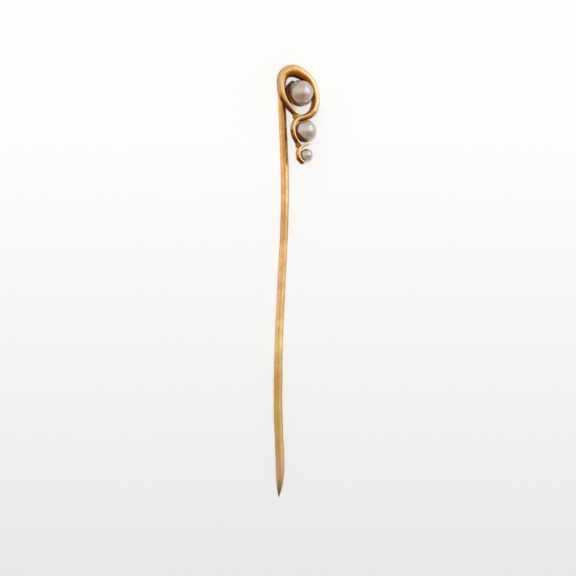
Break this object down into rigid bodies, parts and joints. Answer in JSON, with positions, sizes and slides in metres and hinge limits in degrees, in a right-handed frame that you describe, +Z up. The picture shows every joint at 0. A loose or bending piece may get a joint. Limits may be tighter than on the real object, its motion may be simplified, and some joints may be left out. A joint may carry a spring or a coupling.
{
  "type": "stick pin",
  "caption": "Short dress stick pin: a long pointed wire stem soldered behind a scrolled band head, with graduated round pearls cemented on pegs in dished cups.",
  "frame": {"origin": "middle of the bounding box's underside, on the plane the pin lies on", "axes": "+Y along the pin from its point to its head, +Z up out of the front of the head, +X to the right of the head seen from the front"},
  "size_m": [0.0064, 0.0598, 0.0042],
  "materials": {
    "gold": "aged polished",
    "stem_gold": "worn satin",
    "solder": "satin",
    "cement": "matte",
    "pearl": "pearly lustre"
  },
  "bodies": {
    "root": {"pin_stem": "stem_gold", "main_scroll": "gold", "end_scroll": "gold", "large_cup": "gold", "large_peg": "gold", "large_cement": "cement", "large_pearl": "pearl", "middle_cup": "gold", "middle_peg": "gold", "middle_cement": "cement", "middle_pearl": "pearl", "small_cup": "gold", "small_peg": "gold", "small_cement": "cement", "small_pearl": "pearl", "loop_solder": "solder", "scroll_solder": "solder", "large_cup_solder_left": "solder", "large_cup_solder_right": "solder", "middle_cup_solder": "solder", "small_cup_solder": "solder", "stem_solder": "solder"}
  },
  "joints": []
}
